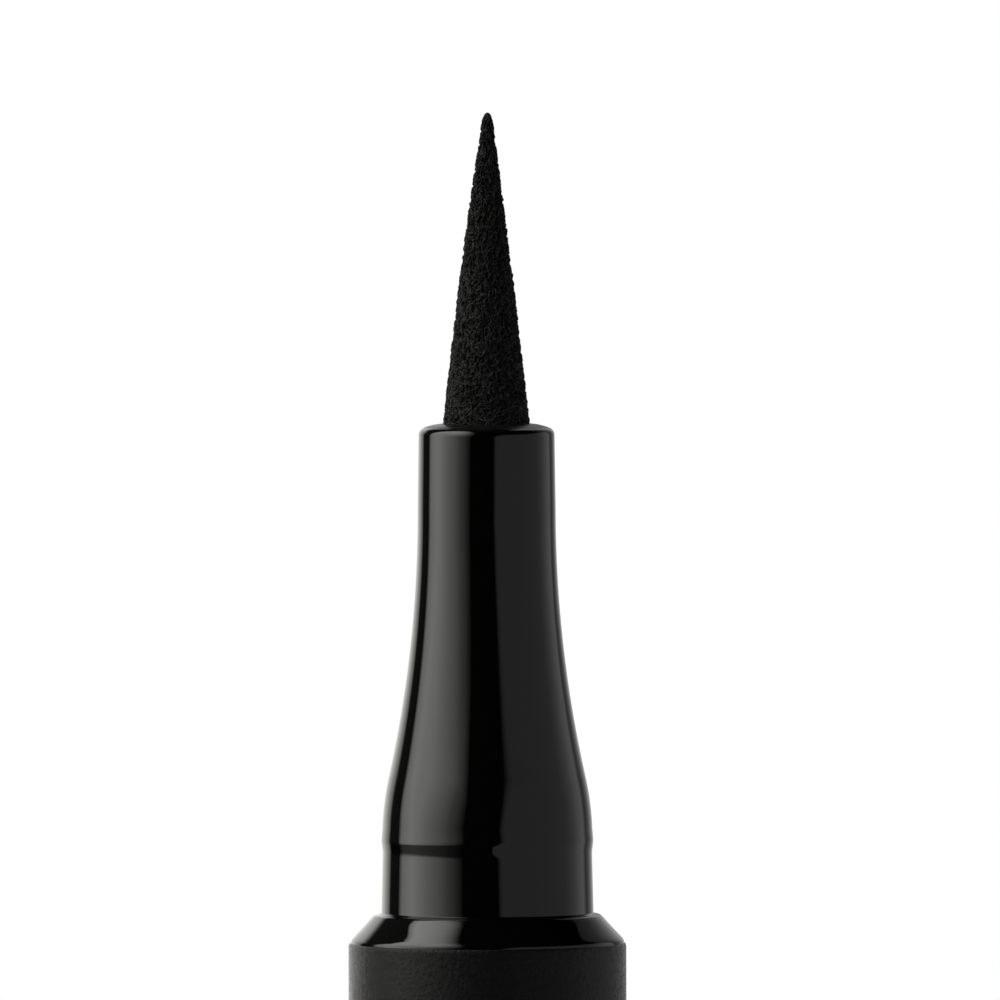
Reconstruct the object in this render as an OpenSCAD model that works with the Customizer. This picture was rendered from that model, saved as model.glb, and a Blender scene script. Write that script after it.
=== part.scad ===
// A liquid eyeliner pen, uncapped and standing on its posted cap, with the felt nib up.
// The pen's axis is Z, and the origin is the centre of the cap's closed end.
// Nearly every piece is turned about that axis from one outline of [radius, height] points.

/* [Nib] */
// Diameter of the felt nib where it leaves the nose
nib_d = 2.96; // [2.5:0.02:3.2]
// Length of the nib outside the nose
nib_reach = 10.78; // [8:0.02:13]
// How far the nib's flank bulges out of a straight cone
nib_belly = 0.05; // [0.01:0.01:0.1]
// Radius at which the flank turns into the rounded point
nib_point_r = 0.22; // [0.12:0.01:0.35]
// Length of the rounded point
nib_point_len = 0.6; // [0.3:0.05:1]
// Length of the nib's stem inside the nose
nib_stem_len = 8; // [7:0.25:9]
// Depth of the socket in the stem that takes the feed core
nib_socket_depth = 2.4; // [1.5:0.1:3]

/* [Nose cone] */
// Outside diameter at the nose's front edge
mouth_d = 4.7; // [4.57:0.01:4.77]
// Outside diameter where the flare begins
neck_d = 4.77; // [4.67:0.01:5.27]
// Length of the nearly straight neck
neck_h = 2.87; // [1.5:0.01:4]
// Rise of the domed front face
dome_h = 0.1; // [0.05:0.01:0.2]
// Rounding of the front edge
mouth_edge_r = 0.26; // [0.1:0.01:0.3]
// Height of the flare from the neck to the snap bead
flare_h = 11.35; // [10.5:0.05:13]
// Diameter of the snap bead that holds the cap
bead_d = 7.27; // [7.17:0.01:7.31]
// Height of the snap bead's straight land
bead_h = 0.17; // [0.1:0.01:0.4]
// Height of the undercut below the snap bead
undercut_h = 0.38; // [0.2:0.02:0.6]
// Diameter of the collar at its foot
collar_d = 7.33; // [7.23:0.01:7.43]
// Height of the collar
collar_h = 2.05; // [1.5:0.05:3]
// How much the collar's radius shrinks towards the undercut
collar_draft = 0.05; // [0.03:0.01:0.08]
// Length of the nose's plug inside the barrel
nose_plug_len = 19.8; // [19:0.1:24]

/* [Shoulder] */
// Height of the sloping shoulder at each end of the barrel
shoulder_h = 1; // [0.7:0.05:1.2]
// Diameter of the shoulder's small end
shoulder_top_d = 7.8; // [7.6:0.02:8]
// How far the shoulder's slope bulges out of a straight cone
shoulder_crown = 0.005; // [0.005:0.005:0.06]
// Height of the rounding at the shoulder's small end
shoulder_lip_h = 0.02; // [0.01:0.005:0.04]
// Radius of the rounding from the shoulder's upright foot into its slope
shoulder_round_r = 0.28; // [0.1:0.02:0.4]
// How far the shoulder's foot lies inside the barrel's outside face
shoulder_inset = 0.09; // [0.03:0.01:0.14]
// Length of the shoulder ring's skirt inside the barrel
skirt_len = 4; // [3:0.25:5]

/* [Barrel] */
// Outside diameter of the barrel and the cap
barrel_d = 9.6; // [9.4:0.1:10.6]
// Length of the barrel
barrel_len = 83; // [75:1:100]
// Wall of the barrel
barrel_wall = 0.7; // [0.6:0.05:0.75]
// Rounding of the barrel's and the cap's outer edges
barrel_edge_r = 0.06; // [0.03:0.01:0.1]

/* [Ink feed] */
// Diameter of the fibre feed core
core_d = 1.6; // [1.2:0.1:1.8]
// Diameter of the collector's fins
fin_d = 6.6; // [6:0.1:6.7]
// Thickness of one fin
fin_t = 0.3; // [0.2:0.05:0.4]
// Distance from one fin to the next
fin_pitch = 0.7; // [0.6:0.05:0.8]
// Number of gaps between the fins
fin_count = 18; // [12:1:19]
// Width of the ink and air slot through the fins
slot_w = 0.3; // [0.2:0.05:0.4]
// Wall of the ink tube
ink_tube_wall = 1.08; // [0.9:0.02:1.2]
// Section diameter of the collector's O-ring
o_ring_t = 0.8; // [0.6:0.05:0.9]
// Diameter of the steel mixing ball
ball_d = 4; // [3:0.25:4.5]

/* [Tail] */
// Length of the post that the cap is pushed on
post_len = 7.5; // [6.5:0.25:8]
// Wall of the hollow post
post_wall = 0.8; // [0.6:0.05:1]
// Length of the tail post's plug inside the barrel
tail_plug_len = 5; // [4:0.25:8]

/* [Cap] */
// Length of the cap
cap_len = 44; // [42:0.5:50]
// Wall of the cap's shell
cap_wall = 0.7; // [0.6:0.05:0.75]
// Gap between the cap's mouth and the barrel, where the shoulder shows
cap_gap = 0.35; // [0.25:0.05:0.5]
// Rounding of the cap's closed end
cap_end_r = 0.45; // [0.2:0.05:0.6]
// Diameter of the disc in the cap's closed end
disc_d = 7.2; // [6:0.1:7.8]
// Thickness of the disc
disc_t = 0.8; // [0.6:0.05:1.1]
// Depth from the cap's mouth to the liner's inner end
liner_depth = 13; // [12.5:0.1:14]
// Distance that the inner cap gives way when the cap is pushed home
seal_travel = 1.2; // [0.8:0.1:1.4]
// Distance from the inner cap's flange to its stop in the shell
stop_travel = 1.5; // [1.4:0.1:2]
// Wire diameter of the inner cap's spring
wire_d = 0.4; // [0.3:0.05:0.5]
// Coil diameter of the spring, at the middle of the wire
coil_d = 4.4; // [4:0.1:4.8]
// Number of turns of the spring
spring_turns = 8; // [6:1:9]

/* [Hidden] */
$fn = 96;

// Clearances
fit_gap = 0.02;     // a press fit, each side
slide_gap = 0.1;    // a piece that slides in another, each side
ball_gap = 0.05;    // the ball over its dish
cap_clear = 0.09;   // the collar in the cap's liner
seat_gap = 0.16;    // the cap's mouth over the shoulder's slope
overrun = 0.5;      // how far a cut reaches past a face

// Radii that follow from the diameters
nib_r = nib_d / 2;
mouth_r = mouth_d / 2;
neck_r = neck_d / 2;
bead_r = bead_d / 2;
collar_r = collar_d / 2;
barrel_r = barrel_d / 2;
core_r = core_d / 2;
fin_r = fin_d / 2;
ball_r = ball_d / 2;
disc_r = disc_d / 2;
coil_r = coil_d / 2;
wire_r = wire_d / 2;
bore_r = barrel_r - barrel_wall;
plug_r = bore_r - fit_gap;
shoulder_top_r = shoulder_top_d / 2;
shoulder_foot_r = barrel_r - shoulder_inset;

// Heights of the outside, from the cap's closed end up to the nib's point
mouth_z = cap_len;
back_z = mouth_z + cap_gap;
rim_z = back_z + barrel_len;
collar_z = rim_z + shoulder_h;
bead_z = collar_z + collar_h + undercut_h;
brow_z = bead_z + bead_h;
neck_z = brow_z + flare_h;
lip_z = neck_z + neck_h;
nose_top_z = lip_z + dome_h;
tip_z = nose_top_z + nib_reach;
post_z = back_z - shoulder_h - post_len;

// Flare: a hollow arc and a round arc that meet on one slope, both upright at their far ends
flare_share = 0.81;   // of the flare's height that the hollow arc takes
flare_steps = 18;
brow_steps = 6;
edge_steps = 6;
flare_turn = 2 * atan((bead_r - neck_r) / flare_h);
flare_sum_r = flare_h / sin(flare_turn);
hollow_r = flare_sum_r * flare_share;
brow_r = flare_sum_r - hollow_r;

// Shoulder: an upright foot rounds into the slope, a shallow arc on a chord that touches the rounding
crown_steps = 8;
slope_h = shoulder_h - shoulder_lip_h;
round_middle_r = shoulder_foot_r - shoulder_round_r;
round_reach = norm([shoulder_top_r - round_middle_r, slope_h]);
slope_turn = atan2(slope_h, shoulder_top_r - round_middle_r) - acos(shoulder_round_r / round_reach);
slope_foot_r = round_middle_r + shoulder_round_r * cos(slope_turn);
slope_foot_h = shoulder_round_r * sin(slope_turn);
slope_len = norm([slope_foot_r - shoulder_top_r, slope_h - slope_foot_h]);
crown_r = (slope_len * slope_len / 4 + shoulder_crown * shoulder_crown) / (2 * shoulder_crown);
crown_turn = asin(slope_len / 2 / crown_r);
crown_depth = crown_r - shoulder_crown;
lip_turn = slope_turn + crown_turn;
shoulder_lip_r = shoulder_lip_h / (1 - sin(lip_turn));

// Nib and its holder
flank_steps = 10;
point_steps = 8;
nib_foot_z = nose_top_z - nib_stem_len;
nib_point_z = tip_z - nib_point_len;
nib_bore_r = nib_r + fit_gap;
core_bore_r = core_r + fit_gap;
socket_top_z = nib_foot_z + nib_socket_depth;
holder_wall = 0.34;
holder_r = nib_bore_r + holder_wall;
holder_over = 2.4;       // how far the holder grips up along the stem
holder_under = 3;        // how far it reaches below the stem
holder_top_z = nib_foot_z + holder_over;
holder_foot_z = nib_foot_z - holder_under;
vent_w = 0.3;
vent_depth = 0.15;
vent_count = 4;

// Nose plug
nose_plug_z = rim_z - nose_plug_len;
nose_step_z = rim_z - skirt_len;
fin_bore_r = fin_r + fit_gap;
cavity_over = 0.5;       // straight bore above the fins, before the cavity narrows
dome_turn = atan(dome_h / (mouth_r - mouth_edge_r - nib_bore_r));

// Collector
flange_t = 1;
hub_wall = 0.9;
stem_wall = 0.4;
nozzle_wall = 0.9;
nozzle_h = 2.5;
channel_depth = 0.25;
groove_wall = 0.7;
fins_z = nose_plug_z + flange_t;
fins_top_z = fins_z + fin_count * fin_pitch + fin_t;
cavity_z = fins_top_z + cavity_over;
stem_top_z = holder_foot_z - slide_gap;
collector_seat_z = nose_plug_z - flange_t;
hub_r = core_bore_r + hub_wall;
stem_r = core_bore_r + stem_wall;
nozzle_r = core_bore_r + nozzle_wall;
channel_r = core_bore_r + channel_depth;

// O-ring in its groove on the collector's spigot
ink_bore_r = plug_r - ink_tube_wall;
o_ring_r = o_ring_t / 2;
o_ring_path_r = ink_bore_r - fit_gap - o_ring_r;
groove_r = o_ring_path_r - o_ring_r - fit_gap;
groove_h = o_ring_t + 2 * slide_gap;
spigot_r = ink_bore_r - slide_gap;
spigot_z = collector_seat_z - groove_h - 2 * groove_wall;
groove_z = spigot_z + groove_wall;
nozzle_z = spigot_z - nozzle_h;

// Feed core
core_over = 1.5;         // how far the core stands out of the nozzle
core_foot_z = nozzle_z - core_over;
core_top_z = socket_top_z - fit_gap;

// Ink tube and tail plug
tube_edge = 0.15;
tail_flange_t = 1;
tail_stop_len = 4;       // how deep the tail plug reaches into the ink tube
tail_wall = 1.3;
tail_roof = 1.4;
tail_rib_h = 0.5;
tail_rib_shares = [0.3, 0.65];   // of that depth, where the plug's two sealing ribs lie
tail_seat_z = back_z + tail_plug_len;
tube_z = tail_seat_z + tail_flange_t;
tail_top_z = tube_z + tail_stop_len;
tail_body_r = ink_bore_r - slide_gap;
tail_rib_r = ink_bore_r - fit_gap;
tail_hollow_r = tail_body_r - tail_wall;

// Mixing ball in the plug's dish
dish_r = 3;
dish_depth = 0.4;
dish_centre_z = tail_top_z + dish_r - dish_depth;
ball_z = dish_centre_z - dish_r + ball_r + ball_gap;
ball_travel = core_foot_z - ball_gap - ball_z - ball_r;

// Tail post
post_floor = 1;
post_edge_r = 0.3;
post_bore_r = collar_r - post_wall;

// Cap: the recess at its mouth follows the shoulder's slope at seat_gap
shoulder_slope = tan(slope_turn);
shell_bore_r = barrel_r - cap_wall;
liner_r = shell_bore_r - fit_gap;
liner_bore_r = collar_r + cap_clear;
ridge_rise = 0.04;       // the snap ridge inside the liner
recess_r = slope_foot_r - (cap_gap - slope_foot_h) * shoulder_slope + seat_gap;
liner_z = mouth_z - liner_depth;
ridge_z = mouth_z + cap_gap - shoulder_h - collar_h;
disc_recess = 0.1;
pocket_h = disc_recess + disc_t;
shell_floor_t = 1.5;
shell_floor_z = pocket_h + shell_floor_t;

// Inner cap: capped_z(z) is the height in the cap that z on the nose reaches when the cap is on
function capped_z(z) = mouth_z + cap_gap + rim_z - z;
inner_clear = 0.35;      // between the nose's neck and the inner cap's bore
nib_clear = 0.45;        // between the nib's foot and the inner cap's narrow bore
tip_clear = 1.5;         // between the nib's point and the inner cap's floor
inner_wall = 0.5;
inner_floor_t = 0.8;
inner_flange_t = 1;
inner_end_r = 0.3;
inner_bore_r = neck_r + inner_clear;
inner_r = inner_bore_r + inner_wall;
inner_nib_r = nib_r + nib_clear;
inner_flange_r = shell_bore_r - slide_gap;
inner_mouth_z = liner_z - slide_gap;
gasket_t = 0.5;
gasket_z = capped_z(lip_z) + seal_travel - gasket_t;
inner_floor_z = capped_z(tip_z) + seal_travel - tip_clear;
inner_back_z = inner_floor_z - inner_floor_t;
stop_z = inner_mouth_z - inner_flange_t - stop_travel;
well_r = inner_r + slide_gap;

// Spring between the cap's floor and the inner cap
guide_h = 1;
guide_r = coil_r - wire_r - slide_gap;
spring_z = shell_floor_z + fit_gap;
spring_top_z = inner_back_z - fit_gap;
spring_rise = spring_top_z - spring_z - wire_d;
coil_steps = 16;
wire_sides = 8;
coil_rings = round(coil_steps * spring_turns);

// Points along an arc of radius r round [x, z], from angle a to angle b
function arc(x, z, r, a, b, steps) =
    [for (i = [0:steps]) let (t = a + (b - a) * i / steps) [x + r * cos(t), z + r * sin(t)]];

// The collar's outline from its foot at height z up to the snap bead's top
function collar(z) = [
    [collar_r, z], [collar_r - collar_draft, z + collar_h],
    [bead_r, z + collar_h + undercut_h], [bead_r, z + collar_h + undercut_h + bead_h]
];

// The shoulder's outline from its foot at height z up to its small end
function shoulder(z) = concat(
    arc(round_middle_r, z, shoulder_round_r, 0, slope_turn - crown_turn, edge_steps),
    arc((slope_foot_r + shoulder_top_r) / 2 - crown_depth * cos(slope_turn),
        z + (slope_foot_h + slope_h) / 2 - crown_depth * sin(slope_turn),
        crown_r, slope_turn - crown_turn, lip_turn, crown_steps),
    arc(shoulder_top_r - shoulder_lip_r * cos(lip_turn), z + shoulder_h - shoulder_lip_r,
        shoulder_lip_r, lip_turn, 90, edge_steps)
);

// An outline turned upside down about height z
function flipped(points, z) = [for (i = [len(points) - 1:-1:0]) [points[i][0], 2 * z - points[i][1]]];

// Height at which the recess in the cap's mouth has radius r
function recess_z(r) = mouth_z - (recess_r - r) / shoulder_slope;

// The recess itself, cut out of the cap's shell and liner, from inside the shoulder's small end outwards
module mouth_recess() {
    recess_floor_r = shoulder_top_r - seat_gap;
    turned([
        [0, recess_z(recess_floor_r)], [recess_floor_r, recess_z(recess_floor_r)],
        [recess_r, mouth_z], [recess_r, mouth_z + overrun], [0, mouth_z + overrun]
    ]);
}

module turned(points) rotate_extrude() polygon(points);

module tube(outer_r, inner_r, z, top_z) {
    turned([[inner_r, z], [outer_r, z], [outer_r, top_z], [inner_r, top_z]]);
}

module nib() {
    color([0.03, 0.03, 0.03])
    difference() {
        turned(concat(
            [[0, nib_foot_z], [nib_r, nib_foot_z]],
            [for (i = [0:flank_steps]) let (t = i / flank_steps)
                [nib_r + (nib_point_r - nib_r) * t + nib_belly * 4 * t * (1 - t),
                    nose_top_z + (nib_point_z - nose_top_z) * t]],
            [for (i = [1:point_steps]) let (t = 90 * i / point_steps)
                [nib_point_r * cos(t), nib_point_z + nib_point_len * sin(t)]]
        ));
        translate([0, 0, nib_foot_z - overrun])
            cylinder(r = core_bore_r, h = nib_socket_depth + overrun);
    }
}

module nib_holder() {
    color([0.85, 0.85, 0.83])
    difference() {
        tube(holder_r, nib_bore_r, holder_foot_z, holder_top_z);
        for (i = [0:vent_count - 1])
            rotate(360 * i / vent_count)
                translate([holder_r - vent_depth, -vent_w / 2, holder_foot_z - overrun])
                    cube([vent_depth + overrun, vent_w, holder_top_z - holder_foot_z + 2 * overrun]);
    }
}

nose_outline = concat(
    [[plug_r, nose_plug_z], [plug_r, nose_step_z], [collar_r, nose_step_z]],
    collar(collar_z),
    arc(bead_r - brow_r, brow_z, brow_r, 0, flare_turn, brow_steps),
    arc(neck_r + hollow_r, neck_z, hollow_r, 180 + flare_turn, 180, flare_steps),
    arc(mouth_r - mouth_edge_r, lip_z - mouth_edge_r, mouth_edge_r, 0, 90 - dome_turn, edge_steps),
    [[nib_bore_r, nose_top_z]]
);

nose_cavity = [
    [nib_bore_r, holder_top_z + fit_gap],
    [holder_r + fit_gap, holder_top_z + fit_gap],
    [holder_r + fit_gap, holder_foot_z - slide_gap],
    [fin_bore_r, cavity_z],
    [fin_bore_r, nose_plug_z]
];

module nose_cone() {
    color([0.02, 0.02, 0.02])
    turned(concat(nose_outline, nose_cavity));
}

module shoulder_ring() {
    ring_bore_r = collar_r + fit_gap;
    skirt_z = nose_step_z + fit_gap;
    color([0.02, 0.02, 0.02])
    difference() {
        turned(concat(
            [[0, skirt_z], [plug_r, skirt_z], [plug_r, rim_z]],
            shoulder(rim_z),
            [[0, collar_z]]
        ));
        translate([0, 0, skirt_z - overrun])
            cylinder(r = ring_bore_r, h = collar_z - skirt_z + 2 * overrun);
    }
}

module barrel() {
    color([0.06, 0.06, 0.06])
    turned(concat(
        [[bore_r, back_z]],
        arc(barrel_r - barrel_edge_r, back_z + barrel_edge_r, barrel_edge_r, -90, 0, edge_steps),
        arc(barrel_r - barrel_edge_r, rim_z - barrel_edge_r, barrel_edge_r, 0, 90, edge_steps),
        [[bore_r, rim_z]]
    ));
}

module feed_core() {
    color([0.2, 0.2, 0.2])
    translate([0, 0, core_foot_z])
        cylinder(r = core_r, h = core_top_z - core_foot_z);
}

collector_outline = concat(
    [[core_bore_r, nozzle_z], [nozzle_r, nozzle_z], [nozzle_r, spigot_z],
        [spigot_r, spigot_z], [spigot_r, groove_z], [groove_r, groove_z],
        [groove_r, groove_z + groove_h], [spigot_r, groove_z + groove_h],
        [spigot_r, collector_seat_z], [plug_r, collector_seat_z],
        [plug_r, nose_plug_z], [hub_r, nose_plug_z]],
    [for (i = [0:fin_count]) let (z = fins_z + i * fin_pitch)
        each [[hub_r, z], [fin_r, z], [fin_r, z + fin_t], [hub_r, z + fin_t]]],
    [[stem_r, fins_top_z], [stem_r, stem_top_z], [core_bore_r, stem_top_z]]
);

module collector() {
    color([0.9, 0.9, 0.88])
    difference() {
        turned(collector_outline);
        // slot through the fins
        translate([0, -slot_w / 2, fins_z - overrun])
            cube([fin_r + overrun, slot_w, fins_top_z - fins_z + 2 * overrun]);
        // channel beside the feed core, from the ink chamber to the fins
        translate([0, -slot_w / 2, nozzle_z - overrun])
            cube([channel_r, slot_w, fins_z - nozzle_z + overrun]);
    }
}

module collector_o_ring() {
    color([0.1, 0.1, 0.1])
    translate([0, 0, groove_z + groove_h / 2])
        rotate_extrude() translate([o_ring_path_r, 0]) circle(r = o_ring_r);
}

module ink_tube() {
    color([0.92, 0.92, 0.9])
    turned([
        [ink_bore_r, tube_z], [plug_r - tube_edge, tube_z], [plug_r, tube_z + tube_edge],
        [plug_r, collector_seat_z - tube_edge], [plug_r - tube_edge, collector_seat_z],
        [ink_bore_r, collector_seat_z]
    ]);
}

module mixing_ball() {
    color([0.75, 0.75, 0.78])
    translate([0, 0, ball_z]) sphere(r = ball_r);
}

tail_outline = concat(
    [[tail_hollow_r, tail_seat_z], [plug_r, tail_seat_z], [plug_r, tube_z], [tail_body_r, tube_z]],
    [for (share = tail_rib_shares) let (z = tube_z + share * tail_stop_len)
        each [[tail_body_r, z], [tail_rib_r, z], [tail_rib_r, z + tail_rib_h], [tail_body_r, z + tail_rib_h]]],
    [[tail_body_r, tail_top_z], [0, tail_top_z], [0, tail_top_z - tail_roof],
        [tail_hollow_r, tail_top_z - tail_roof]]
);

module tail_plug() {
    color([0.88, 0.88, 0.86])
    difference() {
        turned(tail_outline);
        translate([0, 0, dish_centre_z]) sphere(r = dish_r);
    }
}

module tail_post() {
    color([0.02, 0.02, 0.02])
    turned(concat(
        [[0, post_z]],
        arc(bead_r - post_edge_r, post_z + post_edge_r, post_edge_r, -90, 0, edge_steps),
        flipped(concat(shoulder(back_z), collar(back_z + shoulder_h)), back_z),
        [[plug_r, back_z], [plug_r, tail_seat_z], [post_bore_r, tail_seat_z],
            [post_bore_r, post_z + post_floor], [0, post_z + post_floor]]
    ));
}

module cap_shell() {
    color([0.06, 0.06, 0.06])
    difference() {
        turned(concat(
            [[disc_r, 0]],
            arc(barrel_r - cap_end_r, cap_end_r, cap_end_r, -90, 0, edge_steps),
            arc(barrel_r - barrel_edge_r, mouth_z - barrel_edge_r, barrel_edge_r, 0, 90, edge_steps),
            [[shell_bore_r, mouth_z], [shell_bore_r, stop_z], [well_r, stop_z],
                [well_r, shell_floor_z], [guide_r, shell_floor_z],
                [guide_r, shell_floor_z + guide_h], [0, shell_floor_z + guide_h],
                [0, pocket_h], [disc_r, pocket_h]]
        ));
        mouth_recess();
    }
}

module cap_liner() {
    color([0.02, 0.02, 0.02])
    difference() {
        turned([
            [liner_bore_r, liner_z], [liner_r, liner_z], [liner_r, mouth_z],
            [liner_bore_r, mouth_z], [liner_bore_r, ridge_z],
            [liner_bore_r - ridge_rise, ridge_z - undercut_h / 2], [liner_bore_r, ridge_z - undercut_h]
        ]);
        mouth_recess();
    }
}

module cap_end_disc() {
    rim_r = disc_r - fit_gap;
    color([0.02, 0.02, 0.02])
    turned(concat(
        [[0, disc_recess]],
        arc(rim_r - barrel_edge_r, disc_recess + barrel_edge_r, barrel_edge_r, -90, 0, edge_steps),
        [[rim_r, pocket_h], [0, pocket_h]]
    ));
}

module inner_cap() {
    color([0.9, 0.9, 0.9])
    turned(concat(
        [[0, inner_back_z - guide_h], [guide_r, inner_back_z - guide_h], [guide_r, inner_back_z]],
        arc(inner_r - inner_end_r, inner_back_z + inner_end_r, inner_end_r, -90, 0, edge_steps),
        [[inner_r, inner_mouth_z - inner_flange_t], [inner_flange_r, inner_mouth_z - inner_flange_t],
            [inner_flange_r, inner_mouth_z], [inner_bore_r, inner_mouth_z],
            [inner_bore_r, gasket_z], [inner_nib_r, gasket_z],
            [inner_nib_r, inner_floor_z], [0, inner_floor_z]]
    ));
}

module inner_cap_gasket() {
    color([0.35, 0.35, 0.37])
    tube(inner_bore_r - fit_gap, inner_nib_r, gasket_z, gasket_z + gasket_t);
}

// Middle of the spring's wire at ring i, and the wire's rise per radian of turn
function coil_angle(i) = 360 * i / coil_steps;
function coil_middle(i) = [coil_r * cos(coil_angle(i)), coil_r * sin(coil_angle(i)),
    spring_z + wire_r + spring_rise * i / coil_rings];
coil_run = spring_rise / spring_turns / (2 * PI);

// Points of the wire's section at ring i, square to the helix
function coil_ring(i) =
    let (
        t = coil_angle(i),
        out = [cos(t), sin(t), 0],
        up = [coil_run * sin(t), -coil_run * cos(t), coil_r] / norm([coil_r, coil_run])
    )
    [for (k = [0:wire_sides - 1]) let (s = 360 * k / wire_sides)
        coil_middle(i) + wire_r * (cos(s) * out + sin(s) * up)];

coil_points = [for (i = [0:coil_rings]) each coil_ring(i)];
coil_sides = [for (i = [0:coil_rings - 1], k = [0:wire_sides - 1])
    let (a = i * wire_sides + k, b = i * wire_sides + (k + 1) % wire_sides)
    each [[a, a + wire_sides, b], [b, a + wire_sides, b + wire_sides]]];
coil_last = coil_rings * wire_sides;
coil_ends = [for (k = [1:wire_sides - 2])
    each [[0, k, k + 1], [coil_last, coil_last + k + 1, coil_last + k]]];

module inner_cap_spring() {
    color([0.75, 0.75, 0.77])
    polyhedron(points = coil_points, faces = concat(coil_sides, coil_ends));
}

// Least gap from one turn of the spring to the next, measured on the wire's middle points
coil_gap = min([for (i = [0:coil_rings], j = [i + coil_steps / 2:1:coil_rings])
    norm(coil_middle(i) - coil_middle(j))]) - wire_d;
echo(least_gap_between_spring_turns = coil_gap);
echo(height = tip_z, cap_mouth = mouth_z, barrel_back = back_z, barrel_rim = rim_z);
echo(ball_travel = ball_travel, spring_foot = spring_z, seal_travel = seal_travel);

nib();
nib_holder();
nose_cone();
shoulder_ring();
barrel();
feed_core();
collector();
collector_o_ring();
ink_tube();
mixing_ball();
tail_plug();
tail_post();
cap_shell();
cap_liner();
cap_end_disc();
inner_cap_spring();
inner_cap();
inner_cap_gasket();
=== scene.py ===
"""A liquid eyeliner pen in a plain white studio, uncapped and standing on its posted cap."""

import math
import random

import bpy
import numpy as np
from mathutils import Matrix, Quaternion, Vector


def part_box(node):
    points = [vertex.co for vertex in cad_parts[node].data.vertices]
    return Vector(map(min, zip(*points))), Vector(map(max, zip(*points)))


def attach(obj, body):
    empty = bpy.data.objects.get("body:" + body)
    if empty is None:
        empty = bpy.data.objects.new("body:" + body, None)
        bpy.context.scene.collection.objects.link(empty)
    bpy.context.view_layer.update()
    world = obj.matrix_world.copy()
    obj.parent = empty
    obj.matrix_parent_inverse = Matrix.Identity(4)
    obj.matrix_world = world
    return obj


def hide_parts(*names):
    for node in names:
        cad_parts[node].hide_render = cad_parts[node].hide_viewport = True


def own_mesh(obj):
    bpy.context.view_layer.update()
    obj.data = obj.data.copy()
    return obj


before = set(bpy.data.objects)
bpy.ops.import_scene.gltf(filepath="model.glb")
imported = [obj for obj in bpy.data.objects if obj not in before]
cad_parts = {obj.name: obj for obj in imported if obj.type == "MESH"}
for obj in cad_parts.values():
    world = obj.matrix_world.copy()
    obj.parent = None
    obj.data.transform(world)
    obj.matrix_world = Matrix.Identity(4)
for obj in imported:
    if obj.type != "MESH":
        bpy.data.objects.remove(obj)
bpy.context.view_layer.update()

MM = 0.001


def add_object(name, data):
    made = bpy.data.objects.new(name, data)
    bpy.context.scene.collection.objects.link(made)
    return made


# Camera: nearly level and far away, as the photograph's outlines are almost those of a drawing

VIEW_HEIGHT = 34.53       # mm of the object that the frame shows
VIEW_CENTRE = (0.465, 0, 142.66)
VIEW_TILT = 2.0           # degrees above the horizon
VIEW_ROLL = -0.11         # degrees, as the pen in the photograph leans a little to the left
VIEW_DISTANCE = 1000
SENSOR = 36
CLIP = (0.01, 20)         # metres


def make_camera():
    data = bpy.data.cameras.new("camera")
    data.sensor_width = SENSOR
    data.lens = SENSOR * VIEW_DISTANCE / VIEW_HEIGHT
    data.clip_start, data.clip_end = CLIP
    camera = add_object("camera", data)
    tilt = math.radians(VIEW_TILT)
    back = Vector((0, -math.cos(tilt), math.sin(tilt)))
    camera.location = (Vector(VIEW_CENTRE) + back * VIEW_DISTANCE) * MM
    roll = Quaternion((0, 0, 1), math.radians(VIEW_ROLL))
    camera.rotation_euler = (back.to_track_quat("Z", "Y") @ roll).to_euler()
    bpy.context.scene.camera = camera


# Node helpers

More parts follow.
